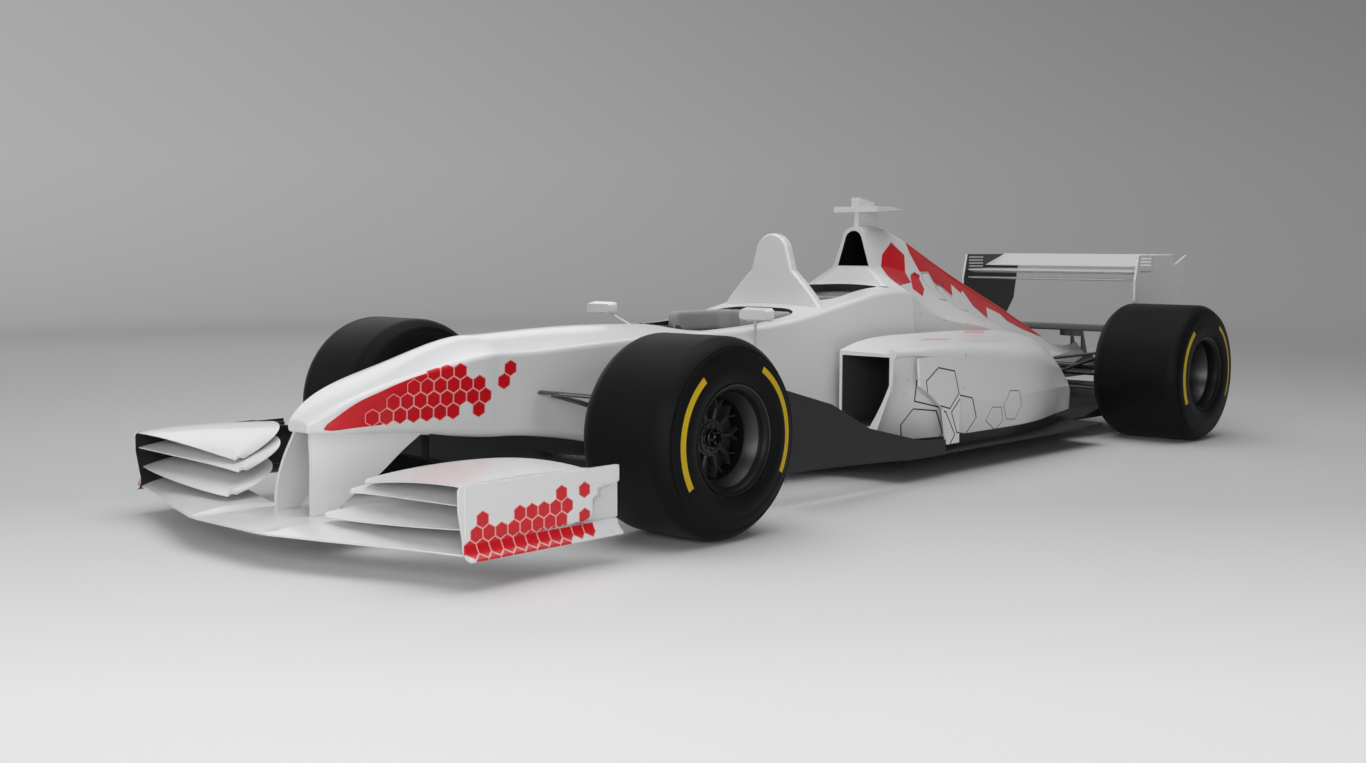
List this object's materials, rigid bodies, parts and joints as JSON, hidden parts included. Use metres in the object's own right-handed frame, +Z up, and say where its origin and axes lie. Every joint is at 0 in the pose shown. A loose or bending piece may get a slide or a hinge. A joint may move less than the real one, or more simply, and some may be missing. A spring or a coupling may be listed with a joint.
{
  "type": "open wheel racing car",
  "caption": "Open wheel single-file two-seat racing car with front and rear wings, open cockpits, sidepods, airbox and free turning, steered wheels.",
  "frame": {"origin": "on the ground, at the centre of the overall length and width", "axes": "+Z up, +Y towards the tail, +X towards the car's left; nose towards -Y"},
  "size_m": [2, 5.614, 1.178],
  "materials": {
    "bodywork": "gloss white paint",
    "wing_paint": "gloss white paint with red patches",
    "carbon": "satin carbon composite",
    "carbon_link": "gloss carbon composite",
    "tyre": "slick rubber with yellow arcs",
    "rim": "black anodised",
    "brake_drum": "carbon composite",
    "seat_shell": "carbon shell with padding",
    "headrest_pad": "padded collar",
    "powertrain": "dark cast alloy",
    "steering_wheel": "carbon and rubber",
    "mirror_shell": "gloss white"
  },
  "bodies": {
    "chassis": {"bargeboard_left": "carbon", "bargeboard_right": "carbon", "beam_wing": "carbon", "camera_pod": "carbon", "diffuser": "carbon", "engine": "powertrain", "engine_cover": "bodywork", "floor": "carbon", "front_arms_left": "carbon_link", "front_arms_right": "carbon_link", "front_endplate_left": "wing_paint", "front_endplate_right": "wing_paint", "front_flaps_left": "wing_paint", "front_flaps_right": "wing_paint", "front_wing": "wing_paint", "gearbox": "powertrain", "headrest_front": "headrest_pad", "headrest_rear": "headrest_pad", "keel": "carbon", "mirror_left": "mirror_shell", "mirror_right": "mirror_shell", "nose_cone": "bodywork", "rear_arms_left": "carbon_link", "rear_arms_right": "carbon_link", "rear_endplate_left": "wing_paint", "rear_endplate_right": "wing_paint", "rear_upright_left": "brake_drum", "rear_upright_right": "brake_drum", "rear_wing": "wing_paint", "roll_hoop": "bodywork", "seat_front": "seat_shell", "seat_rear": "seat_shell", "sidepod_left": "bodywork", "sidepod_right": "bodywork", "tub": "bodywork"},
    "knuckle_left": {"front_upright_left": "brake_drum"},
    "knuckle_right": {"front_upright_right": "brake_drum"},
    "wheel_front_left": {"front_rim_left": "rim", "front_tyre_left": "tyre"},
    "wheel_front_right": {"front_rim_right": "rim", "front_tyre_right": "tyre"},
    "wheel_rear_left": {"rear_rim_left": "rim", "rear_tyre_left": "tyre", "half_shaft_left": "carbon_link"},
    "wheel_rear_right": {"rear_rim_right": "rim", "rear_tyre_right": "tyre", "half_shaft_right": "carbon_link"},
    "steering_wheel": {"steering_wheel": "steering_wheel"}
  },
  "joints": [
    {"name": "steer_left", "type": "hinge", "parent": "chassis", "child": "knuckle_left", "pos_m": [0.698, -1.557, 0.335], "axis": [0, 0, 1], "range_deg": [-17, 17]},
    {"name": "steer_right", "type": "hinge", "parent": "chassis", "child": "knuckle_right", "pos_m": [-0.698, -1.557, 0.335], "axis": [0, 0, 1], "range_deg": [-17, 17]},
    {"name": "steering_wheel_turn", "type": "hinge", "parent": "chassis", "child": "steering_wheel", "pos_m": [0, -0.867, 0.575], "axis": [0, 1, 0], "range_deg": [-170, 170]},
    {"name": "spin_front_left", "type": "hinge", "parent": "knuckle_left", "child": "wheel_front_left", "pos_m": [0.7925, -1.557, 0.335], "axis": [1, 0, 0], "continuous": true},
    {"name": "spin_front_right", "type": "hinge", "parent": "knuckle_right", "child": "wheel_front_right", "pos_m": [-0.7925, -1.557, 0.335], "axis": [1, 0, 0], "continuous": true},
    {"name": "spin_rear_left", "type": "hinge", "parent": "chassis", "child": "wheel_rear_left", "pos_m": [0.7685, 2.028, 0.335], "axis": [1, 0, 0], "continuous": true},
    {"name": "spin_rear_right", "type": "hinge", "parent": "chassis", "child": "wheel_rear_right", "pos_m": [-0.7685, 2.028, 0.335], "axis": [1, 0, 0], "continuous": true}
  ],
  "couplings": [
    {"joint": "steer_right", "follows": "steer_left", "ratio": 1},
    {"joint": "steering_wheel_turn", "follows": "steer_left", "ratio": 10}
  ]
}
